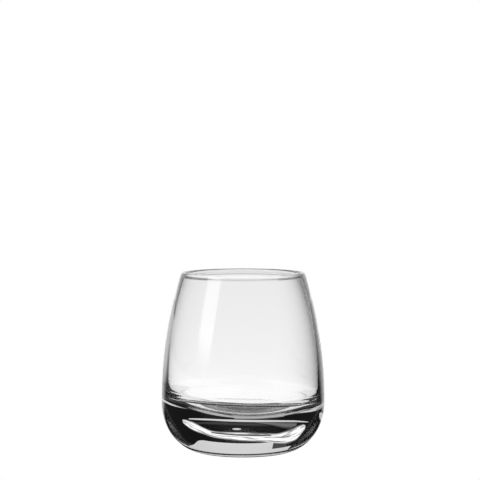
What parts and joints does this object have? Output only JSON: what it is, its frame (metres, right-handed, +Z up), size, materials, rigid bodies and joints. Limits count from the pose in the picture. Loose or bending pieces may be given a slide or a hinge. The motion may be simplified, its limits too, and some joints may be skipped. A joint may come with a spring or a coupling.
{
  "type": "dessert glass",
  "caption": "Stemless clear dessert glass: a barrel-shaped tumbler that narrows to a round lip, with a thin wall and a thick rounded base.",
  "frame": {"origin": "centre of the foot ring on the table", "axes": "+Z up along the axis of the glass, from the foot to the mouth"},
  "size_m": [0.084, 0.084, 0.0924],
  "materials": {
    "glass": "clear, fire-polished"
  },
  "bodies": {
    "root": {"tumbler": "glass"}
  },
  "joints": []
}
